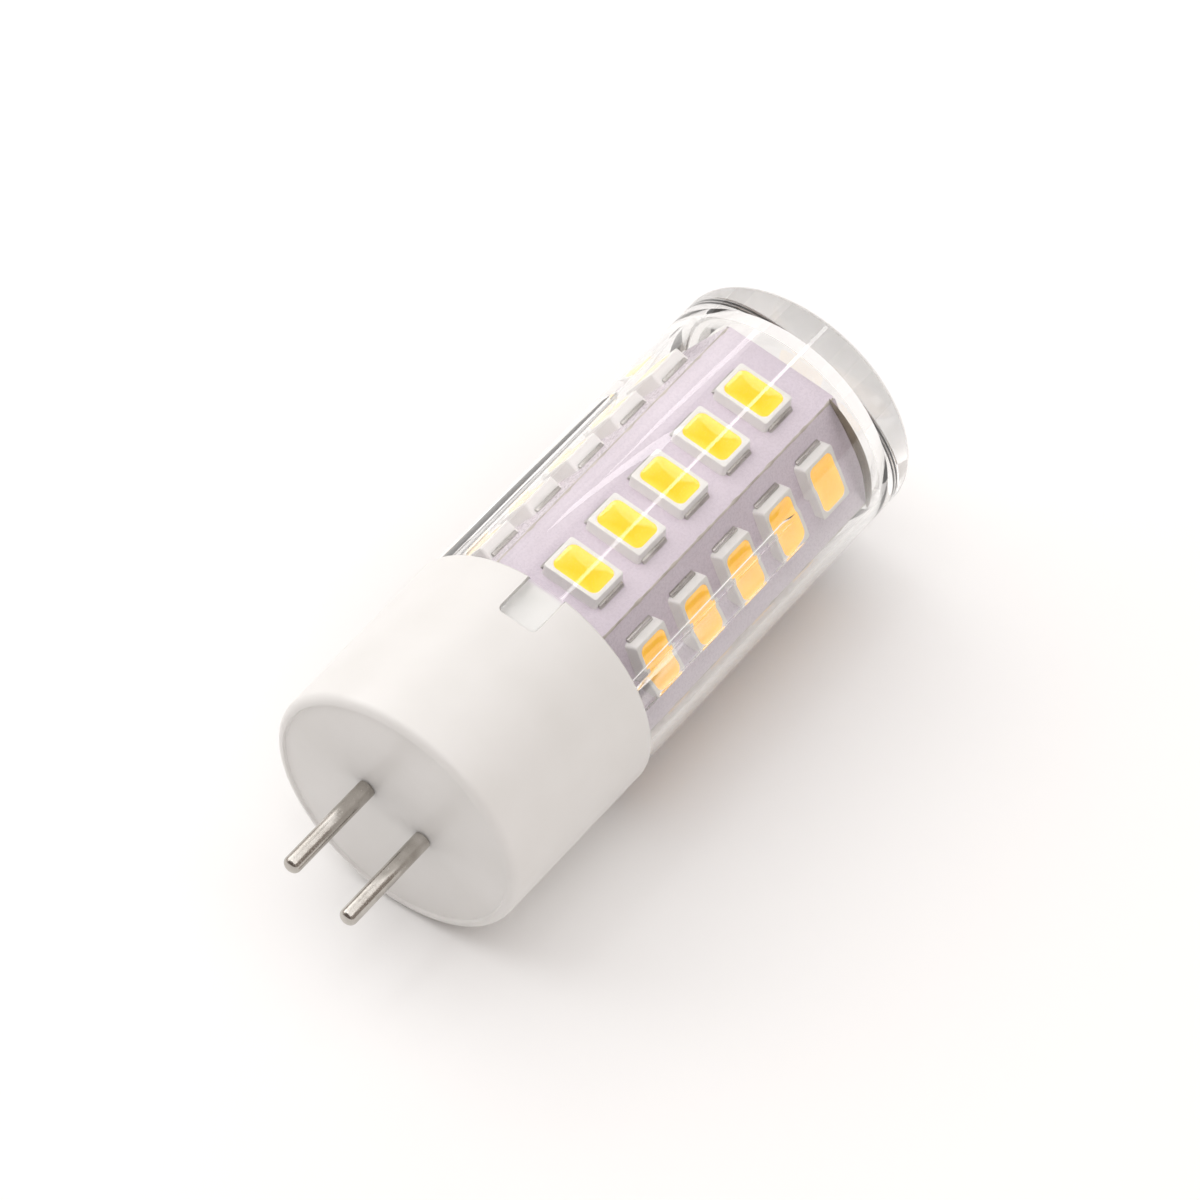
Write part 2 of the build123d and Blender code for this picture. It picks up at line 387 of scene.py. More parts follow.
class EffectGroups:
    """Node groups that several finishes share."""

    NOISE_SPAN: Range = (0.3, 0.7)
    CREST_SPAN: Range = (0.60, 0.74)
    CLOUD_DETAIL = 3.0
    GRAIN_DETAIL = 2.0
    SCUFF_DETAIL = 4.0

    def __init__(self) -> None:
        """Builds each group once."""
        self.mottle = self._mottle()
        self.scuffs = self._scuffs()

    @staticmethod
    def _group(name: str, inputs: Sequence[str], outputs: Sequence[str]) -> tuple[NodeSheet, Any, Any]:
        """Starts a group that takes a vector and some numbers.

        Args:
            name: the group's name.
            inputs: names of the numbers that it takes.
            outputs: names of the values that it gives.

        Returns:
            The group's sheet, its input node and its output node.
        """
        tree = bpy.data.node_groups.new(name, "ShaderNodeTree")
        tree.interface.new_socket("Vector", in_out="INPUT", socket_type="NodeSocketVector")
        for label in inputs:
            tree.interface.new_socket(label, in_out="INPUT", socket_type="NodeSocketFloat")
        for label in outputs:
            tree.interface.new_socket(label, in_out="OUTPUT", socket_type="NodeSocketFloat")
        sheet = NodeSheet(tree)
        return sheet, sheet.place("NodeGroupInput"), sheet.place("NodeGroupOutput")

    def _mottle(self) -> bpy.types.NodeTree:
        """Cloudy change and fine grain: two noises, one of them many times finer than the other.

        Returns:
            The group.
        """
        sheet, given, result = self._group("soft_mottle", ("Cloud Scale", "Grain Scale"), ("Cloud", "Grain"))
        for label, detail in (("Cloud", self.CLOUD_DETAIL), ("Grain", self.GRAIN_DETAIL)):
            inputs = {"Vector": given.outputs["Vector"], "Scale": given.outputs[f"{label} Scale"], "Detail": detail}
            noise = sheet.place("ShaderNodeTexNoise", inputs)
            sheet.feed(result, label, sheet.spread(noise.outputs["Fac"], (0.0, 1.0), self.NOISE_SPAN))
        return sheet.tree

    def _scuffs(self) -> bpy.types.NodeTree:
        """Hairline scuffs: a noise drawn out along one direction, of which only the crests are kept.

        Returns:
            The group.
        """
        sheet, given, result = self._group("hair_scuffs", ("Scale",), ("Mask",))
        inputs = {"Vector": given.outputs["Vector"], "Scale": given.outputs["Scale"], "Detail": self.SCUFF_DETAIL}
        noise = sheet.place("ShaderNodeTexNoise", inputs)
        sheet.feed(result, "Mask", sheet.spread(noise.outputs["Fac"], (0.0, 1.0), self.CREST_SPAN))
        return sheet.tree


class MaterialSheet(NodeSheet):
    """A material with a Principled shader, fed by object coordinates."""

    def __init__(self, name: str, groups: EffectGroups) -> None:
        """Makes an empty material with its shader and output.

        Args:
            name: the material's name.
            groups: the shared groups.
        """
        self.material = bpy.data.materials.new(name)
        self.material.use_nodes = True
        super().__init__(self.material.node_tree)
        self.tree.nodes.clear()
        self.groups = groups
        self.shader = self.place("ShaderNodeBsdfPrincipled")
        self.output = self.place("ShaderNodeOutputMaterial", {"Surface": self.shader.outputs["BSDF"]})
        self.object = self.place("ShaderNodeTexCoord").outputs["Object"]

    def set(self, **values: Any) -> "MaterialSheet":
        """Sets or joins sockets of the shader.

        Args:
            values: a value or a socket for each input, whose name's words are joined by underscores.

        Returns:
            The sheet.
        """
        for name, value in values.items():
            self.feed(self.shader, name.replace("_", " "), value)
        return self

    def laid(self, turn: float = 0.0, stretch: float = 1.0) -> bpy.types.NodeSocket:
        """Object coordinates, turned about the lamp's axis or drawn out along it.

        Args:
            turn: the turn about X, in degrees.
            stretch: scale along X; less than 1 draws a pattern out.

        Returns:
            The socket with the coordinates.
        """
        inputs = {"Vector": self.object, "Rotation": (math.radians(turn), 0.0, 0.0), "Scale": (stretch, 1.0, 1.0)}
        return self.place("ShaderNodeMapping", inputs).outputs["Vector"]

    def mottle(self, vector: bpy.types.NodeSocket, cloud: float, grain: float) -> tuple[Any, Any]:
        """Places the shared mottle.

        Args:
            vector: the coordinates that it follows.
            cloud: scale of its clouds.
            grain: scale of its grain.

        Returns:
            The sockets of its clouds and of its grain.
        """
        inputs = {"Vector": vector, "Cloud Scale": cloud, "Grain Scale": grain}
        node = self.place("ShaderNodeGroup", inputs, node_tree=self.groups.mottle)
        return node.outputs["Cloud"], node.outputs["Grain"]

    def scuffs(self, vector: bpy.types.NodeSocket, scale: float) -> bpy.types.NodeSocket:
        """Places the shared scuffs.

        Args:
            vector: the coordinates that they follow.
            scale: their scale.

        Returns:
            The socket of their mask.
        """
        inputs = {"Vector": vector, "Scale": scale}
        return self.place("ShaderNodeGroup", inputs, node_tree=self.groups.scuffs).outputs["Mask"]

    def let_light_through(self, share: Colour) -> None:
        """Lets some of the lights' own light pass straight through, so that what is inside is lit.

        Args:
            share: the share that passes a surface, by colour.
        """
        shadow = self.place("ShaderNodeLightPath").outputs["Is Shadow Ray"]
        through = self.place("ShaderNodeBsdfTransparent", {"Color": share}).outputs["BSDF"]
        mixed = self.place("ShaderNodeMixShader", {0: shadow, 1: self.shader.outputs["BSDF"], 2: through})
        self.feed(self.output, "Surface", mixed.outputs["Shader"])

    def raise_by(self, height: bpy.types.NodeSocket, distance: float, strength: float) -> None:
        """Feeds a bump to the shader's normal.

        Args:
            height: the socket that gives its height, from 0 to 1.
            distance: what a height of 1 stands for, in millimetres.
            strength: how much of it shows.
        """
        inputs = {"Height": height, "Distance": distance * MM, "Strength": strength}
        self.set(Normal=self.place("ShaderNodeBump", inputs).outputs["Normal"])


@dataclass(frozen=True)
class ClearPlastic:
    """Clear moulded polycarbonate with a few hairline scuffs, frosted on the tongues below the rim."""

    tint: Colour = (0.995, 0.995, 0.99)
    worn_tint: Colour = (0.97, 0.97, 0.97)
    index: float = 1.585
    gloss: Range = (0.008, 0.045)
    scuff_scale: float = 1400
    scuff_stretch: float = 0.15
    frost: float = 0.3
    frost_band: Range = (12.05, 12.15)
    veil: Colour = (0.77, 0.77, 0.77)

    def make(self, groups: EffectGroups) -> bpy.types.Material:
        """Builds the material.

        Args:
            groups: the shared groups.

        Returns:
            The material.
        """
        sheet = MaterialSheet("clear_plastic", groups)
        mask = sheet.scuffs(sheet.laid(stretch=self.scuff_stretch), self.scuff_scale)
        along = sheet.place("ShaderNodeSeparateXYZ", {"Vector": sheet.object}).outputs["X"]
        band = (self.frost_band[0] * MM, self.frost_band[1] * MM)
        frost = sheet.spread(along, (self.frost, 0.0), band)
        sheet.set(
            Base_Color=sheet.blend(mask, self.tint, self.worn_tint),
            Roughness=sheet.math("MAXIMUM", sheet.spread(mask, self.gloss), frost),
            IOR=self.index,
            Transmission_Weight=1.0,
        )
        sheet.let_light_through(self.veil)
        return sheet.material


@dataclass(frozen=True)
class WhitePlastic:
    """White moulded plastic with a satin skin."""

    name: str
    colour: Colour = (0.82, 0.81, 0.795)
    cloud_colour: Colour = (0.79, 0.78, 0.76)
    gloss: Range = (0.29, 0.34)
    cloud_scale: float = 260
    grain_scale: float = 5200
    bump: Range = (0.01, 0.03)

    def make(self, groups: EffectGroups) -> bpy.types.Material:
        """Builds the material.

        Args:
            groups: the shared groups.

        Returns:
            The material.
        """
        sheet = MaterialSheet(self.name, groups)
        cloud, grain = sheet.mottle(sheet.object, self.cloud_scale, self.grain_scale)
        sheet.set(
            Base_Color=sheet.blend(cloud, self.colour, self.cloud_colour),
            Roughness=sheet.spread(grain, self.gloss),
        )
        sheet.raise_by(grain, *self.bump)
        return sheet.material


@dataclass(frozen=True)
class BrightMetal:
    """Drawn or tinned metal: fine lines along the lamp, and duller clouds."""

    name: str
    colour: Colour
    dull_colour: Colour
    gloss: Range
    line_bump: Range = (0.01, 0.3)
    cloud_scale: float = 700
    grain_scale: float = 9000
    line_scale: float = 5200
    line_stretch: float = 0.05

    def make(self, groups: EffectGroups) -> bpy.types.Material:
        """Builds the material.

        Args:
            groups: the shared groups.

        Returns:
            The material.
        """
        sheet = MaterialSheet(self.name, groups)
        cloud, grain = sheet.mottle(sheet.object, self.cloud_scale, self.grain_scale)
        lines = sheet.scuffs(sheet.laid(stretch=self.line_stretch), self.line_scale)
        sheet.set(
            Base_Color=sheet.blend(cloud, self.colour, self.dull_colour),
            Roughness=sheet.spread(grain, self.gloss),
            Metallic=1.0,
        )
        sheet.raise_by(lines, *self.line_bump)
        return sheet.material


@dataclass(frozen=True)
class BoardMask:
    """Pale solder mask on a board's outer side, over a bare core that shows at its edges."""

    colour: Colour = (0.74, 0.66, 0.745)
    cloud_colour: Colour = (0.70, 0.62, 0.70)
    core_colour: Colour = (0.56, 0.51, 0.46)
    gloss: Range = (0.22, 0.34)
    skin: Range = (0.06, 0.048)
    cloud_scale: float = 220
    grain_scale: float = 8000
    bump: Range = (0.01, 0.2)

    def make(self, groups: EffectGroups, name: str, turn: float, top: float) -> bpy.types.Material:
        """Builds the material for one board.

        Args:
            groups: the shared groups.
            name: the material's name.
            turn: turn of the board's outer side, in degrees.
            top: distance of that side from the axis.

        Returns:
            The material.
        """
        sheet = MaterialSheet(name, groups)
        laid = sheet.laid(turn=turn)
        height = sheet.place("ShaderNodeSeparateXYZ", {"Vector": laid}).outputs["Z"]
        skin = sheet.spread(height, (0.0, 1.0), ((top - self.skin[0]) * MM, (top - self.skin[1]) * MM))
        cloud, grain = sheet.mottle(laid, self.cloud_scale, self.grain_scale)
        mask_colour = sheet.blend(cloud, self.colour, self.cloud_colour)
        sheet.set(
            Base_Color=sheet.blend(skin, self.core_colour, mask_colour),
            Roughness=sheet.spread(grain, self.gloss),
        )
        sheet.raise_by(grain, *self.bump)
        return sheet.material


@dataclass(frozen=True)
class CastPhosphor:
    """Yellow phosphor under a clear glaze: deep in the middle, paler where it climbs the window's edge, and with a
    painted orange glow, an emission that stands in for light on the fills in shade although the lamp is off.
    """

    deep: Colour = (0.97, 0.66, 0.004)
    pale: Colour = (0.98, 0.78, 0.06)
    # Painted glow: an orange emission colour and strength that light the phosphor as if lit, though the lamp is
    # off.
    painted_glow: Colour = (1.0, 0.27, 0.002)
    painted_glow_strength: float = 0.5
    gloss: Range = (0.18, 0.30)
    glaze: float = 1.0
    glaze_gloss: float = 0.05
    glaze_index: float = 1.75
    pale_span: Range = (0.45, 1.0)
    uneven: float = 0.25
    uneven_shift: float = -0.1
    cloud_scale: float = 900
    grain_scale: float = 12000
    bump: Range = (0.006, 0.3)

    def make(self, groups: EffectGroups) -> bpy.types.Material:
        """Builds the material.

        Args:
            groups: the shared groups.

        Returns:
            The material.
        """
        sheet = MaterialSheet("cast_phosphor", groups)
        edge = sheet.place("ShaderNodeAttribute", attribute_name="edge").outputs["Fac"]
        cloud, grain = sheet.mottle(sheet.object, self.cloud_scale, self.grain_scale)
        uneven = sheet.math("MULTIPLY_ADD", cloud, self.uneven, self.uneven_shift)
        share = sheet.spread(sheet.math("ADD", edge, uneven), (0.0, 1.0), self.pale_span)
        sheet.set(
            Base_Color=sheet.blend(share, self.deep, self.pale),
            Roughness=sheet.spread(grain, self.gloss),
            # Painted glow: the phosphor emits orange light though the lamp is off.
            Emission_Color=self.painted_glow,
            Emission_Strength=self.painted_glow_strength,
            Coat_Weight=self.glaze,
            Coat_Roughness=self.glaze_gloss,
            Coat_IOR=self.glaze_index,
        )
        sheet.raise_by(grain, *self.bump)
        return sheet.material


@dataclass(frozen=True)
class PlainPart:
    """Skin of a board, a bought part or glue: one colour with clouds, grain and a matching gloss."""

    name: str
    colour: Colour
    cloud_colour: Colour
    gloss: Range
    metal: float = 0.0
    cloud_scale: float = 900
    grain_scale: float = 7000
    bump: Range = (0.01, 0.3)

    def make(self, groups: EffectGroups) -> bpy.types.Material:
        """Builds the material.

        Args:
            groups: the shared groups.

        Returns:
            The material.
        """
        sheet = MaterialSheet(self.name, groups)
        cloud, grain = sheet.mottle(sheet.object, self.cloud_scale, self.grain_scale)
        sheet.set(
            Base_Color=sheet.blend(cloud, self.colour, self.cloud_colour),
            Roughness=sheet.spread(grain, self.gloss),
            Metallic=self.metal,
        )
        sheet.raise_by(grain, *self.bump)
        return sheet.material


BASE_PLASTIC = WhitePlastic("base_plastic")
PACKAGE_PLASTIC = WhitePlastic("led_package", (0.96, 0.95, 0.93), (0.92, 0.90, 0.87), (0.3, 0.42), grain_scale=9000)
PIN_STEEL = BrightMetal("pin_steel", (0.60, 0.575, 0.54), (0.40, 0.375, 0.34), (0.12, 0.28))
SOLDER = BrightMetal("solder", (0.66, 0.64, 0.62), (0.40, 0.38, 0.36), (0.25, 0.45), line_bump=(0.01, 0.15))
TINNED_WIRE = BrightMetal("tinned_wire", (0.78, 0.77, 0.75), (0.6, 0.59, 0.57), (0.2, 0.35))
SEAM_RESIN = PlainPart("seam_resin", (0.66, 0.60, 0.55), (0.38, 0.33, 0.29), (0.35, 0.5))
# Dark brown of the painted shade crescent at the far end of the right-hand board; it is shade, not glue.
PAINTED_SHADE_BROWN = PlainPart("painted_shade_brown", (0.20, 0.155, 0.11), (0.13, 0.10, 0.07), (0.3, 0.5))
END_MASK = PlainPart("end_mask", (0.85, 0.80, 0.87), (0.79, 0.73, 0.81), (0.25, 0.4))
GREEN_LAMINATE = PlainPart("green_laminate", (0.05, 0.16, 0.06), (0.04, 0.12, 0.05), (0.30, 0.45))
WHITE_LAMINATE = PlainPart("white_laminate", (0.80, 0.78, 0.74), (0.72, 0.70, 0.66), (0.30, 0.45))
BLACK_RESIN = PlainPart("black_resin", (0.02, 0.02, 0.022), (0.035, 0.035, 0.035), (0.45, 0.6))
GREY_FERRITE = PlainPart("grey_ferrite", (0.06, 0.06, 0.065), (0.10, 0.10, 0.10), (0.5, 0.65))
CAN_METAL = PlainPart("can_metal", (0.70, 0.70, 0.71), (0.60, 0.60, 0.62), (0.2, 0.35), metal=1.0)
INSIDE_PARTS = {
    GREEN_LAMINATE: ("driver_board",),
    WHITE_LAMINATE: ("foot_board",),
    BLACK_RESIN: ("bridge_rectifier", "driver_chip", "sense_resistor_1", "sense_resistor_2"),
    GREY_FERRITE: ("power_inductor",),
    CAN_METAL: ("smoothing_capacitor",),
    TINNED_WIRE: ("feed_lead_1", "feed_lead_2"),
}


@dataclass(frozen=True)
class RimFeature:
    """A tongue, notch or rib of a shell: offsets round the shell, and how deep it goes along and inwards there."""

    CORNER_STEPS: ClassVar[int] = 7
    STRETCH_STEPS: ClassVar[int] = 8
    turn: float
    offsets: np.ndarray
    along: np.ndarray
    inwards: np.ndarray

    @classmethod
    def tongue(cls, turn: float, half: float, depth: float, corner: float) -> "RimFeature":
        """Straight-sided tongue or notch whose end has a quarter circle at each corner.

        Args:
            turn: turn of its middle, in degrees.
            half: half its width.
            depth: how far it goes along the lamp.
            corner: radius of its corners.

        Returns:
            The feature.
        """
        sideways, lift = quarter_round(corner, cls.CORNER_STEPS)
        arc = half - corner + sideways
        flat = np.linspace(-(half - corner), half - corner, cls.CORNER_STEPS)[1:-1]
        offsets = np.concatenate([[-half], -arc[::-1], flat, arc, [half]])
        along = np.concatenate([[0], depth - lift[::-1], np.full_like(flat, depth), depth - lift, [0]])
        return cls(turn, offsets, along, np.zeros_like(along))

    @classmethod
    def rib(cls, turn: float, corners: Points, bore: float, radius: float, side: int) -> "RimFeature":
        """Rib on the inside: straight stretches from corner to corner of its section, and two radial sides.

        A point's turn is the angle whose tangent is its place across over its height, and its depth is what
        its distance from the axis leaves of the bore.

        Args:
            turn: turn of the face that it lies over, in degrees.
            corners: the section's corners: place across the face and height over the axis.
            bore: the shell's inside radius.
            radius: radius that the offsets are measured on.
            side: 1, or -1 for its mirror image.

        Returns:
            The feature.
        """
        stretches = len(corners) - 1
        share = np.linspace(0, stretches, stretches * cls.STRETCH_STEPS + 1)
        across, height = (np.interp(share, np.arange(len(corners)), corners[:, i]) for i in (0, 1))
        offsets = np.pad(np.arctan2(across, height) * radius, 1, mode="edge")
        inwards = np.pad(bore - np.hypot(across, height), 1)
        return cls(turn, side * offsets[::side], np.zeros_like(inwards), inwards[::side])


@dataclass
class Shells:
    """The white base and the clear cover, two turned shells that lock by tongues in notches."""

    lamp_length: float = 37.05
    cover_radius: float = 7.89
    cover_wall: float = 0.65
    cover_end_wall: float = 1.5
    cover_edge_round: float = 0.5
    cover_corner_bevel: float = 1.4
    base_length: float = 12.15
    base_rim_radius: float = 8.10
    base_draft: float = 0.5
    base_end_wall: float = 1.8
    base_end_round: float = 0.55
    end_face_recess: float = 0.14
    end_rim_slope: float = 0.1
    end_rim_bend: tuple[float, float] = (0.25, 0.4)
    base_rim_bevel: float = 0.15
    tongue_turns: tuple[float, float] = (-8.6, 171.4)
    tongue_width: float = 2.3
    tongue_depth: float = 2.85
    tongue_round: float = 0.35
    tongue_gap: float = 0.06
    rib_turns: tuple[float, float] = (-68.6, 51.4)
    rib_low: float = -1.0
    rib_high: float = 0.83
    rib_bead: float = 0.28
    rib_crest: float = 6.857
    rib_bead_step: float = 0.04
    rib_pad_rise: float = 0.26
    rib_end: float = 27.3
    rib_ramp: float = 0.9
    rim_bore: float = 7.143
    notch_bed: float = 7.2
    foot_seat: float = 10.0
    driver_bore: float = 6.493
    driver_seat: float = 3.4
    floor_bore: float = 5.693
    cover_edge_steps: int = 16
    base_edge_steps: int = 10
    columns: int = 432
    column_gap: float = 0.004

    @property
    def bore_radius(self) -> float:
        """Inside radius of the cover."""
        return self.cover_radius - self.cover_wall

    def _columns(self, features: Sequence[RimFeature]) -> tuple[np.ndarray, np.ndarray, np.ndarray]:
        """Turns of the columns round a shell: an even spread, with the features' own columns in their place.

        Two columns share one turn at a feature's upright side, so that the side stands straight.

        Args:
            features: tongues, notches and ribs, none of which overlap.

        Returns:
            The turns in radians, and for each the feature's depth along the lamp and its depth inwards.
        """
        even = np.linspace(-math.pi, math.pi, self.columns, endpoint=False)
        centres = np.radians([f.turn for f in features])
        reaches = np.array([np.abs(f.offsets).max() for f in features]) / self.cover_radius
        away = np.abs((even[None] - centres[:, None] + math.pi) % (2 * math.pi) - math.pi)
        even = even[(away > reaches[:, None] + self.column_gap).all(axis=0)]
        own = np.concatenate([c + f.offsets / self.cover_radius for c, f in zip(centres, features)])
        own = (own + math.pi) % (2 * math.pi) - math.pi
        turns = np.concatenate([even, own])
        order = np.argsort(turns, kind="stable")
        blank = np.zeros_like(even)
        along = np.concatenate([blank, *(f.along for f in features)])
        inwards = np.concatenate([blank, *(f.inwards for f in features)])
        return turns[order], along[order], inwards[order]

    @staticmethod
    def _turned(stations: Sequence[Any], radii: Sequence[Any], turns: np.ndarray) -> Points:
        """Turned surface: a point's station and radius give its place along the axis and its distance from it.

        Args:
            stations: each loop's place along the lamp, one number or one for each turn.
            radii: each loop's radius, given the same way.
            turns: turns of the columns, in radians.

        Returns:
            The points, loop by loop.
        """
        x = np.stack([np.broadcast_to(s, turns.shape) for s in stations])
        r = np.stack([np.broadcast_to(s, turns.shape) for s in radii])
        return np.stack([x, r * np.sin(turns), r * np.cos(turns)], axis=-1).reshape(-1, 3)

    def _ribs(self) -> list[RimFeature]:
        """Guide ribs: a sloping pad with a bead along its upper edge, and its mirror image.

        Returns:
            The two features.
        """
        edge = self.rib_high - self.rib_bead
        bead = self.rib_crest + self.rib_bead_step
        pad = self.rib_crest + self.rib_pad_rise
        corners = np.array([[self.rib_low, self.rib_crest], [edge, pad], [edge, bead], [self.rib_high, bead]])
        return [
            RimFeature.rib(turn, corners, self.bore_radius, self.cover_radius, side)
            for turn, side in zip(self.rib_turns, (1, -1))
        ]

    def build_cover(self) -> Piece:
        """Clear cover: one closed profile carried round the axis.

        The profile runs up the outer wall, round the end's edge, to the axis, back along the inside of the
        thick end, down its bevel and the bore to the mouth. Its mouth is lower where a tongue is.

        Returns:
            The piece.
        """
        half, depth, corner = self.tongue_width / 2, self.tongue_depth, self.tongue_round
        tongues = [RimFeature.tongue(turn, half, depth, corner) for turn in self.tongue_turns]
        turns, lowered, raised = self._columns([*tongues, *self._ribs()])
        mouth = self.base_length - lowered
        crest = self.bore_radius - raised
        along, inwards = quarter_round(self.cover_edge_round, self.cover_edge_steps)
        inside_end = self.lamp_length - self.cover_end_wall
        edge = self.lamp_length - self.cover_edge_round
        bevel = self.cover_corner_bevel
        crest_end = self.rib_end - self.rib_ramp * raised / raised.max()
        stations = [mouth, self.base_length, *(edge + along), self.lamp_length, inside_end, inside_end,
                    inside_end - bevel, self.rib_end, crest_end, self.base_length, mouth]
        radii = [self.cover_radius, self.cover_radius, *(self.cover_radius - inwards), 0.0, 0.0,
                 self.bore_radius - bevel, self.bore_radius, self.bore_radius, crest, crest, crest]
        points = self._turned(stations, radii, turns)
        quads = grid_quads(len(stations), len(turns), joined_rows=True)
        return Piece("cover_shell", points, facing_outwards(points, quads)).stand_for("clear_cover")

    def build_base(self) -> Piece:
        """White base: a profile carried round the axis, from the middle of its end face to that of its floor.

        The profile goes out over the sunk end face, up its rim and round the edge, up the drafted side to a
        bevelled rim, and down the inside over two ledges. A notch is a step down in the rim, with a thin web
        at its back.

        Returns:
            The piece.
        """
        gap = self.tongue_gap
        half, depth, corner = self.tongue_width / 2 + gap, self.tongue_depth + gap, self.tongue_round + gap
        notches = [RimFeature.tongue(turn, half, depth, corner) for turn in self.tongue_turns]
        turns, lowered, _ = self._columns(notches)
        rim = self.base_length - lowered
        inside = lowered > 0
        slope = math.tan(math.radians(self.base_draft))
        inwards, along = quarter_round(self.base_end_round, self.base_edge_steps)
        end_radius = self.base_rim_radius - slope * self.base_length
        edge_radius = end_radius + slope * self.base_end_round
        shoulder = np.where(inside, rim, rim - self.base_rim_bevel)
        lip = np.where(inside, 0.0, self.base_rim_bevel)
        seat = self.foot_seat
        crest = end_radius + slope * rim - lip
        back = np.where(inside, self.notch_bed, crest)
        lip_radius = edge_radius - self.base_end_round
        sunk = self.end_face_recess
        bend_height, bend_reach = self.end_rim_bend
        top = self.base_length
        stations = [sunk, sunk, bend_height * sunk, *along, shoulder, rim, rim, top, top, seat, seat,
                    self.driver_seat, self.driver_seat, self.base_end_wall, self.base_end_wall]
        radii = [0.0, lip_radius - self.end_rim_slope, lip_radius - bend_reach * self.end_rim_slope,
                 *(lip_radius + inwards), end_radius + slope * shoulder, crest, back, back, self.rim_bore,
                 self.rim_bore, self.driver_bore, self.driver_bore, self.floor_bore, self.floor_bore, 0.0]
        points = self._turned(stations, radii, turns)
        quads = grid_quads(len(stations), len(turns))
        return Piece("base_shell", points, facing_outwards(points, quads)).stand_for("base_housing")


@dataclass
class ContactPins:
    """Two bare contacts: round wire with a rounded tip, stepped down to a shank inside the base."""

    radius: float = 0.525
    shank_radius: float = 0.35
    foot: float = 0.1
    spacing: float = 4.0
    reach: float = 6.5
    tip_round: float = 0.36
    turn: float = 65.6
    shank: float = 5.0
    tip_steps: int = 9
    columns: int = 64

    def build(self) -> list[Piece]:
        """Pins: a profile from tip to tail, carried round each pin's own axis.

        Returns:
            The two pieces.
        """
        inwards, along = quarter_round(self.tip_round, self.tip_steps)
        stations = np.array([-self.reach, *(along - self.reach), self.foot, self.foot, self.shank, self.shank])
        radii = np.array([0.0, *(self.radius - self.tip_round + inwards), self.radius,
                          self.shank_radius, self.shank_radius, 0.0])
        angle = np.linspace(0, 2 * math.pi, self.columns, endpoint=False)
        across = radii[:, None, None] * np.stack([np.sin(angle), np.cos(angle)], axis=-1)
        x = np.broadcast_to(stations[:, None, None], (*across.shape[:2], 1))
        points = np.concatenate([x, across], axis=-1).reshape(-1, 3)
        quads = facing_outwards(points, grid_quads(len(stations), self.columns))
        lean = math.radians(self.turn)
        offset = np.array([0, math.sin(lean), math.cos(lean)]) * self.spacing / 2
        return [
            Piece(f"pin_{number}", points + side * offset, quads).stand_for(f"contact_pin_{number}")
            for number, side in ((1, 1), (2, -1))
        ]


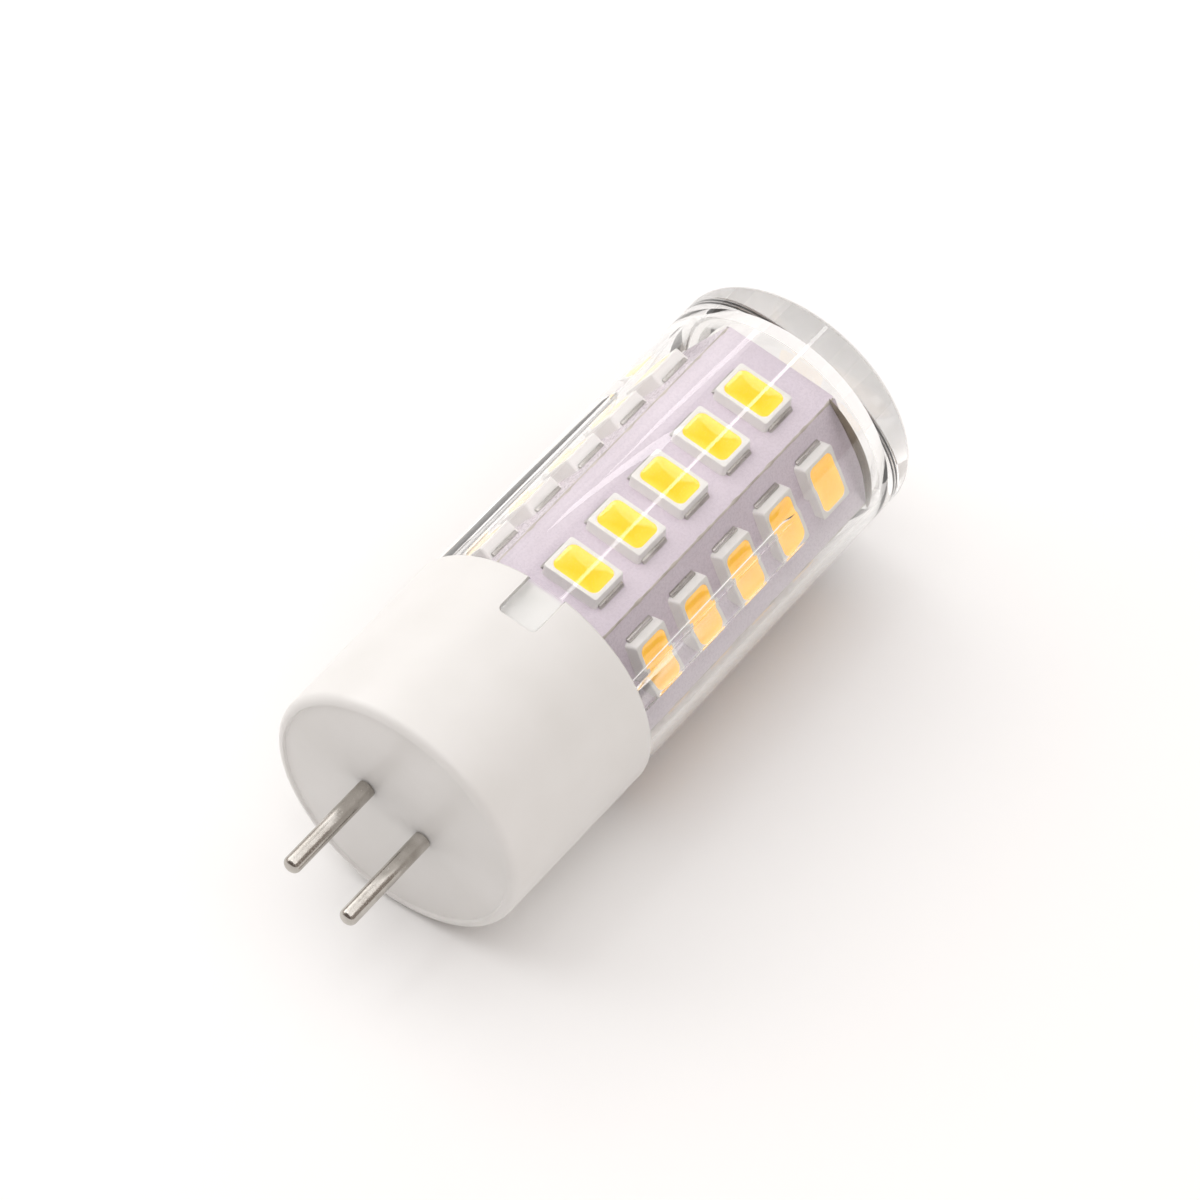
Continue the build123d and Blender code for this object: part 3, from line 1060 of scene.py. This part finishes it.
@dataclass
class LedColumn:
    """Six boards round the axis with a row of LEDs on each, and three LEDs on the end board."""

    turn: float = -8.6
    boards: int = 6
    apothem: float = 6.047
    board_end: float = 33.95
    stations: tuple[float, ...] = (15.0, 18.9, 22.8, 26.7, 30.6)
    row_lean: float = 0.35
    end_turns: tuple[float, ...] = (-8.6, 111.4, 231.4)
    end_radius: float = 2.6
    length: float = 3.4
    width: float = 2.5
    height: float = 0.75
    draft: float = 6.0
    rim: float = 0.22
    window_depth: float = 0.35
    window_round: float = 0.42
    window_lip: float = 0.03
    body_round: float = 0.16
    top_round: float = 0.05
    top_steps: int = 4
    corner_points: int = 6
    phosphor_gap: float = 0.035
    phosphor_bed: float = 0.002
    phosphor_dip: float = 0.03
    phosphor_dish: float = 0.07
    phosphor_loops: int = 13
    terminal_width: float = 2.1
    terminal_height: float = 0.21
    terminal_lead: float = 0.12
    terminal_foot: float = 0.22
    terminal_pad: float = 0.05
    terminal_run: tuple[float, ...] = (1.0, 1.0, 0.97, 0.9)
    terminal_swell: tuple[float, ...] = (0.0, 0.8, 0.95, 1.0)
    fillet_steps: int = 7
    seam_start: float = 11.2
    seam_radius: float = 0.1
    seam_depth: float = 0.115
    seam_waves: tuple[tuple[float, float], ...] = ((0.12, 2.1), (0.08, 5.7))
    seam_grid: tuple[int, int] = (90, 12)
    # Painted shade: a dark brown crescent at the right-hand board's far end, standing in for the shade there.
    shade_crescent_turns: tuple[float, float] = (-37.0, -101.0)
    shade_crescent_outer: float = 7.13
    shade_crescent_reach: float = 0.45
    shade_crescent_thickness: float = 0.55
    shade_crescent_station: float = 33.5
    shade_crescent_grid: tuple[int, int] = (48, 16)

    def board_turn(self, number: int) -> float:
        """Turn of a board's outer side, in degrees."""
        return self.turn - 360 / self.boards * (number - 1)

    @property
    def loop_points(self) -> int:
        """Points in each loop of a package or a fill."""
        return 4 * self.corner_points

    def row(self, number: int) -> Points:
        """Seats of the LEDs on one board: neighbouring rows lean towards or away from each other."""
        lean = -self.row_lean if number % 2 else self.row_lean
        return face_seats(self.board_turn(number), self.apothem, self.stations, lean)

    def end(self) -> Points:
        """Seats of the LEDs on the end board."""
        return end_seats(self.board_end, self.end_turns, self.end_radius)

    def rows(self) -> Points:
        """Seats of all the LEDs on the side boards."""
        return np.concatenate([self.row(number) for number in range(1, self.boards + 1)])

    def _loop(self, inset: float, corner: float, height: float) -> Points:
        """Loop round a package: a rectangle with round corners, at one height.

        Args:
            inset: how far it lies inside the package's outline.
            corner: radius of its corners.
            height: its height over the board.

        Returns:
            Its points in the frame of a seat.
        """
        flat = rounded_rectangle(self.width / 2 - inset, self.length / 2 - inset, corner, self.corner_points)
        return np.column_stack([flat, np.full(self.loop_points, height)])

    def _body(self) -> tuple[Points, Faces]:
        """One LED package: loops stacked from its foot up its drafted side, over the rounded top edge to the
        rim, and down into the window.

        Returns:
            Its points and quads.
        """
        spread = self.height * math.tan(math.radians(self.draft))
        along, inwards = quarter_round(self.top_round, self.top_steps)
        shoulder = spread * (1 - (self.height - self.top_round) / self.height)
        floor = self.height - self.window_depth
        window = self.rim + self.window_lip
        insets = [-spread, *(-shoulder + inwards), self.rim, window, window]
        heights = [0.0, *(self.height - self.top_round + along), self.height, self.height - self.window_lip, floor]
        rounds = [self.body_round + spread, *(self.body_round - inwards / 2), *[self.window_round] * 3]
        middle = np.zeros((self.loop_points, 3))
        loops = [middle, *map(self._loop, insets, rounds, heights), middle + (0, 0, floor)]
        points = np.concatenate(loops)
        return points, facing_outwards(points, grid_quads(len(loops), self.loop_points))

    def _fill(self) -> tuple[Points, Faces]:
        """One phosphor fill: loops that shrink to the middle of a dished top, closed by a flat bottom.

        A loop's share of the way to the edge sets how far down it lies: by the dish, times one less the share
        cubed.

        Returns:
            Its points and quads.
        """
        floor = self.height - self.window_depth + self.phosphor_bed
        edge = self._loop(self.rim + self.phosphor_gap, self.window_round, floor)
        share = np.linspace(0, 1, self.phosphor_loops)[:, None]
        top = share[:, :, None] * edge[None]
        top[:, :, 2] = self.height - self.phosphor_dip - self.phosphor_dish * (1 - share**3)
        points = np.concatenate([top, edge[None], edge[None] * (0, 0, 1)]).reshape(-1, 3)
        return points, facing_outwards(points, grid_quads(len(top) + 2, self.loop_points))

    def _terminal(self) -> tuple[Points, Faces]:
        """One lead with its solder fillet: a hollow quarter-circle section carried along the package's end, drawn
        in at both ends of its run.

        Returns:
            Its points and quads.
        """
        foot = self.length / 2 + self.height * math.tan(math.radians(self.draft))
        lean = self.terminal_height * math.tan(math.radians(self.draft))
        angle = np.linspace(0, math.pi / 2, self.fillet_steps)
        hollow_out = self.terminal_foot - (self.terminal_foot - self.terminal_lead) * np.sin(angle)
        hollow_up = self.terminal_height - (self.terminal_height - self.terminal_pad) * np.cos(angle)
        reach = foot + np.array([0, self.terminal_foot, *hollow_out, -lean])
        rise = np.array([0, 0, *hollow_up, self.terminal_height])
        run = np.array(self.terminal_run) * self.terminal_width / 2
        along = np.concatenate([-run, run[::-1]])
        swell = np.array([*self.terminal_swell, *self.terminal_swell[::-1]])
        reach_grid = foot - lean / 2 + (reach - foot + lean / 2)[None] * swell[:, None]
        rise_grid = rise[None] * swell[:, None]
        x_grid = np.broadcast_to(along[:, None], reach_grid.shape)
        points = np.stack([x_grid, reach_grid, rise_grid], axis=-1).reshape(-1, 3)
        return points, facing_outwards(points, grid_quads(len(along), len(reach)))

    @staticmethod
    def _both_ends(seats: Points) -> Points:
        """Seats for both ends of each package: a half turn about z turns x and y round.

        Args:
            seats: seats of the packages.

        Returns:
            The seats, and then the same seats turned half way round.
        """
        turned = seats.copy()
        turned[:, :, :2] *= -1
        return np.concatenate([seats, turned])

    def build_bodies(self) -> list[Piece]:
        """LED packages: one piece for each row, and one for the end.

        Returns:
            The pieces.
        """
        points, quads = self._body()
        pieces = []
        for number in range(1, self.boards + 1):
            nodes = [f"led_body_{number}_{place}" for place in range(1, len(self.stations) + 1)]
            row = Piece(f"led_row_{number}", *repeated(points, quads, self.row(number)))
            pieces.append(row.stand_for(*nodes))
        nodes = [f"end_led_body_{place}" for place in range(1, len(self.end_turns) + 1)]
        return [*pieces, Piece("end_leds", *repeated(points, quads, self.end())).stand_for(*nodes)]

    def build_fills(self) -> list[Piece]:
        """Phosphor fills of the rows and of the end, each point marked with its share of the way to the edge.

        Returns:
            The pieces.
        """
        points, quads = self._fill()
        pieces = []
        for name, seats, node in (("row_phosphor", self.rows(), "side_phosphors"),
                                  ("end_phosphor", self.end(), "end_phosphors")):
            piece = Piece(name, *repeated(points, quads, seats)).stand_for(node)
            pieces.append(piece.mark("edge", self._edge_share(piece.places(), seats)))
        return pieces

    def _edge_share(self, places: Points, seats: Points) -> np.ndarray:
        """Share of the way from a window's middle to its edge: the larger of a point's two offsets from the middle
        of the nearest seat, each over half the window.

        Args:
            places: the points.
            seats: seats of the windows.

        Returns:
            One share for each point.
        """
        offset = places[:, None, :] - seats[None, :, :, 3]
        nearest = np.argmin(np.linalg.norm(offset, axis=-1), axis=1)
        local = np.einsum("nji,nj->ni", seats[nearest][:, :, :3], offset[np.arange(len(places)), nearest])
        return np.maximum(np.abs(local[:, 0]) / (self.width / 2 - self.rim),
                          np.abs(local[:, 1]) / (self.length / 2 - self.rim))

    def build_seams(self) -> Piece:
        """Resin seams in the slits between the boards: a thin bead along each corner of the hexagon.

        A bead is a tube whose radius swells and shrinks along the lamp by the sum of two sine waves, and
        that closes at both ends.

        Returns:
            The piece.
        """
        loops, columns = self.seam_grid
        along = np.linspace(self.seam_start, self.board_end, loops)
        radius = self.seam_radius * (1 + sum(share * np.sin(pitch * along) for share, pitch in self.seam_waves))
        radius[[0, -1]] = 0
        angle = np.linspace(0, 2 * math.pi, columns, endpoint=False)
        across = radius[:, None] * np.sin(angle)
        up = radius[:, None] * np.cos(angle)
        points = np.stack([np.broadcast_to(along[:, None], across.shape), across, up], axis=-1).reshape(-1, 3)
        quads = facing_outwards(points, grid_quads(len(along), len(angle)))
        half = 180 / self.boards
        height = self.apothem / math.cos(math.radians(half)) - self.seam_depth
        seats = [face_seats(self.board_turn(n) + half, height, (0.0,), 0.0) for n in range(1, self.boards + 1)]
        return Piece("board_seams", *repeated(points, quads, np.concatenate(seats)), Edge.ROUND).ride()

    def build_painted_shade_crescent(self) -> Piece:
        """Painted shade: a dark brown crescent at the far end of the right-hand board, a dark piece that stands in
        for the shade seen there; an oval section carried along an arc round the axis.

        The section swells and shrinks by the root of a sine over the arc, so the painted shade is a crescent
        with its tips on the board's corners.

        Returns:
            The piece.
        """
        loops, columns = self.shade_crescent_grid
        share = np.linspace(0, 1, loops)
        turn = np.radians(np.interp(share, (0, 1), self.shade_crescent_turns))[:, None]
        swell = np.sqrt(np.sin(math.pi * share).clip(0))[:, None]
        angle = np.linspace(0, 2 * math.pi, columns, endpoint=False)
        half = self.shade_crescent_reach / 2 * swell
        radius = self.shade_crescent_outer - half + half * np.cos(angle)
        along = self.shade_crescent_station + self.shade_crescent_thickness / 2 * swell * np.sin(angle)
        points = np.stack([along, radius * np.sin(turn), radius * np.cos(turn)], axis=-1).reshape(-1, 3)
        quads = facing_outwards(points, grid_quads(len(share), len(angle)))
        return Piece("painted_shade_crescent", points, quads, Edge.ROUND).ride()

    def build_terminals(self) -> list[Piece]:
        """Leads and solder fillets of the rows and of the end.

        Returns:
            The pieces.
        """
        points, quads = self._terminal()
        return [
            Piece(name, *repeated(points, quads, self._both_ends(seats)), Edge.ROUND).stand_for(node)
            for name, seats, node in (("row_terminals", self.rows(), "side_led_terminals"),
                                      ("end_terminals", self.end(), "end_led_terminals"))
        ]


@dataclass(frozen=True)
class SoftLight:
    """A rectangular light in a direction from its target: distance and size in metres, power in watts."""

    name: str
    towards: Place
    distance: float
    size: tuple[float, float]
    power: float
    colour: Colour = (1.0, 1.0, 1.0)
    roll: float = 0.0

    def build(self, target: Place) -> bpy.types.Object:
        """Hangs the light in its direction from the target, facing it.

        Args:
            target: what it shines at, in metres.

        Returns:
            The light.
        """
        data = bpy.data.lights.new(self.name, "AREA")
        data.shape = "RECTANGLE"
        data.size, data.size_y = self.size
        data.energy = self.power
        data.color = self.colour
        light = bpy.data.objects.new(self.name, data)
        bpy.context.scene.collection.objects.link(light)
        back = np.array(self.towards) / np.linalg.norm(self.towards)
        side = np.cross((0, 0, 1), back)
        side = side / np.linalg.norm(side)
        up = np.cross(back, side)
        roll = math.radians(self.roll)
        side, up = side * math.cos(roll) + up * math.sin(roll), up * math.cos(roll) - side * math.sin(roll)
        place = np.array(target) + back * self.distance
        light.matrix_world = placing(np.column_stack([side, up, back]), place)
        LOG.info("%s: %.2f W", self.name, self.power)
        return light


@dataclass
class Studio:
    """White floor, soft lights and the camera: all in metres, but for the floor's height."""

    floor_height: float = -8.12
    floor_reach: float = 3.0
    floor_points: int = 9
    floor_colour: Colour = (0.95, 0.95, 0.95)
    floor_cloud: float = 0.99
    floor_cloud_scale: float = 4
    floor_grain_scale: float = 900
    floor_gloss: Range = (0.85, 0.95)
    floor_specular: float = 0.1
    camera_place: Place = (-0.13164, -0.11066, 0.22236)
    camera_right: Place = (0.5939, -0.8046, 0.0003)
    camera_up: Place = (0.6164, 0.4552, 0.6426)
    camera_angle: float = 12.887
    camera_clip: float = 0.01
    bounces: int = 16
    clear_bounces: int = 12
    sky: Colour = (1.0, 0.85, 0.78)
    sky_strength: float = 0.205
    target: Place = (0.015, 0.0, 0.0)
    lights: tuple[SoftLight, ...] = (
        SoftLight("key_light", (-0.02, 0.62, 0.78), 0.8, (0.8, 0.8), 3.3),
        SoftLight("ceiling", (-0.06, -0.26, 0.96), 0.9, (1.1, 1.1), 5.4),
        SoftLight("top_box", (0.545, -0.05, 0.835), 0.8, (0.035, 0.2), 0.078),
        SoftLight("side_wall", (0.15, -0.93, 0.38), 0.6, (1.6, 0.9), 0.95, (1.0, 0.90, 0.82)),
        SoftLight("far_wall", (0.25, 0.93, 0.22), 0.6, (1.8, 0.9), 2.9, (1.0, 0.97, 0.93)),
        SoftLight("end_wall", (0.95, 0.05, 0.3), 0.6, (1.2, 0.6), 0.8, (1.0, 0.95, 0.9)),
        SoftLight("left_box", (0.547, 0.467, 0.676), 0.8, (0.27, 0.012), 0.03, roll=-42.6),
    )

    def build_floor(self) -> bpy.types.Object:
        """Floor: a wide flat sheet just under the lamp, a grid of even squares.

        Returns:
            The floor.
        """
        count = self.floor_points
        side = np.linspace(-self.floor_reach, self.floor_reach, count)
        x, y = np.meshgrid(side, side, indexing="ij")
        points = np.stack([x, y, np.full_like(x, self.floor_height * MM)], axis=-1).reshape(-1, 3)
        row, column = np.meshgrid(np.arange(count - 1), np.arange(count - 1), indexing="ij")
        start = (row * count + column).ravel()
        quads = np.stack([start, start + count, start + count + 1, start + 1], axis=-1)
        mesh = bpy.data.meshes.new("studio_floor")
        mesh.from_pydata(points.tolist(), [], quads.tolist())
        mesh.update()
        floor = bpy.data.objects.new("studio_floor", mesh)
        bpy.context.scene.collection.objects.link(floor)
        return floor

    def dress_floor(self, floor: bpy.types.Object, groups: EffectGroups) -> None:
        """Gives the floor its white card.

        Args:
            floor: the floor.
            groups: the shared groups.
        """
        sheet = MaterialSheet("white_card", groups)
        cloud, grain = sheet.mottle(sheet.object, self.floor_cloud_scale, self.floor_grain_scale)
        cloud_colour = tuple(self.floor_cloud * part for part in self.floor_colour)
        sheet.set(
            Base_Color=sheet.blend(cloud, self.floor_colour, cloud_colour),
            Roughness=sheet.spread(grain, self.floor_gloss),
            Specular_IOR_Level=self.floor_specular,
        )
        floor.data.materials.append(sheet.material)

    def build_camera(self) -> bpy.types.Object:
        """Camera where the photograph was taken from, with its field of view.

        Returns:
            The camera.
        """
        data = bpy.data.cameras.new("lamp_camera")
        data.angle = math.radians(self.camera_angle)
        data.dof.use_dof = False
        data.clip_start = self.camera_clip
        camera = bpy.data.objects.new("lamp_camera", data)
        right = np.array(self.camera_right) / np.linalg.norm(self.camera_right)
        back = np.cross(right, self.camera_up)
        back = back / np.linalg.norm(back)
        axes = np.column_stack([right, np.cross(back, right), back])
        camera.matrix_world = placing(axes, self.camera_place)
        bpy.context.scene.collection.objects.link(camera)
        bpy.context.scene.camera = camera
        return camera

    def light(self) -> None:
        """Even warm surroundings, the soft lights, and how far light is followed through the clear cover."""
        scene = bpy.context.scene
        scene.world = bpy.data.worlds.new("studio")
        scene.world.use_nodes = True
        background = scene.world.node_tree.nodes["Background"]
        background.inputs["Color"].default_value = (*self.sky, 1.0)
        background.inputs["Strength"].default_value = self.sky_strength
        for light in self.lights:
            light.build(self.target)
        scene.cycles.max_bounces = self.bounces
        scene.cycles.glossy_bounces = self.clear_bounces
        scene.cycles.transmission_bounces = self.clear_bounces
        scene.cycles.caustics_reflective = False
        scene.view_settings.view_transform = "Standard"
        scene.view_settings.look = "None"


def dress_node(name: str, material: bpy.types.Material) -> None:
    """Puts a material on a CAD node that stays as it is, and reports it.

    Args:
        name: the node's name.
        material: the material.
    """
    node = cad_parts[name]
    node.data.materials.clear()
    node.data.materials.append(material)
    LOG.info("%s: CAD node, %s", name, material.name)


def dress_inside(groups: EffectGroups) -> None:
    """Dresses the boards and parts inside the base.

    Args:
        groups: the shared groups.
    """
    for finish, names in INSIDE_PARTS.items():
        material = finish.make(groups)
        for name in names:
            dress_node(name, material)


def main() -> None:
    """Builds the studio and the lamp, piece by piece."""
    logging.basicConfig(level=logging.INFO, format="%(name)s: %(message)s")
    groups = EffectGroups()
    studio = Studio()
    studio.build_camera()
    studio.dress_floor(studio.build_floor(), groups)
    studio.light()

    shells = Shells()
    shells.build_cover().dress(ClearPlastic().make(groups), Finish.COVER)
    shells.build_base().dress(BASE_PLASTIC.make(groups), Finish.BASE)
    steel = PIN_STEEL.make(groups)
    for pin in ContactPins().build():
        pin.dress(steel, Finish.PIN)

    column = LedColumn()
    package = PACKAGE_PLASTIC.make(groups)
    for piece in column.build_bodies():
        piece.dress(package, Finish.LED)
    phosphor = CastPhosphor().make(groups)
    for piece in column.build_fills():
        piece.dress(phosphor, Finish.PHOSPHOR)
    solder = SOLDER.make(groups)
    for piece in column.build_terminals():
        piece.dress(solder, Finish.SOLDER)
    column.build_seams().dress(SEAM_RESIN.make(groups), Finish.SOLDER)
    # Painted shade: the dark crescent at the far end of the right-hand board.
    column.build_painted_shade_crescent().dress(PAINTED_SHADE_BROWN.make(groups), Finish.LAMINATE)
    mask = BoardMask()
    for number in range(1, column.boards + 1):
        turn = column.board_turn(number)
        dress_node(f"led_board_{number}", mask.make(groups, f"board_mask_{number}", turn, column.apothem))
    dress_node("end_board", END_MASK.make(groups))
    dress_inside(groups)


if __name__ == "__main__":
    main()
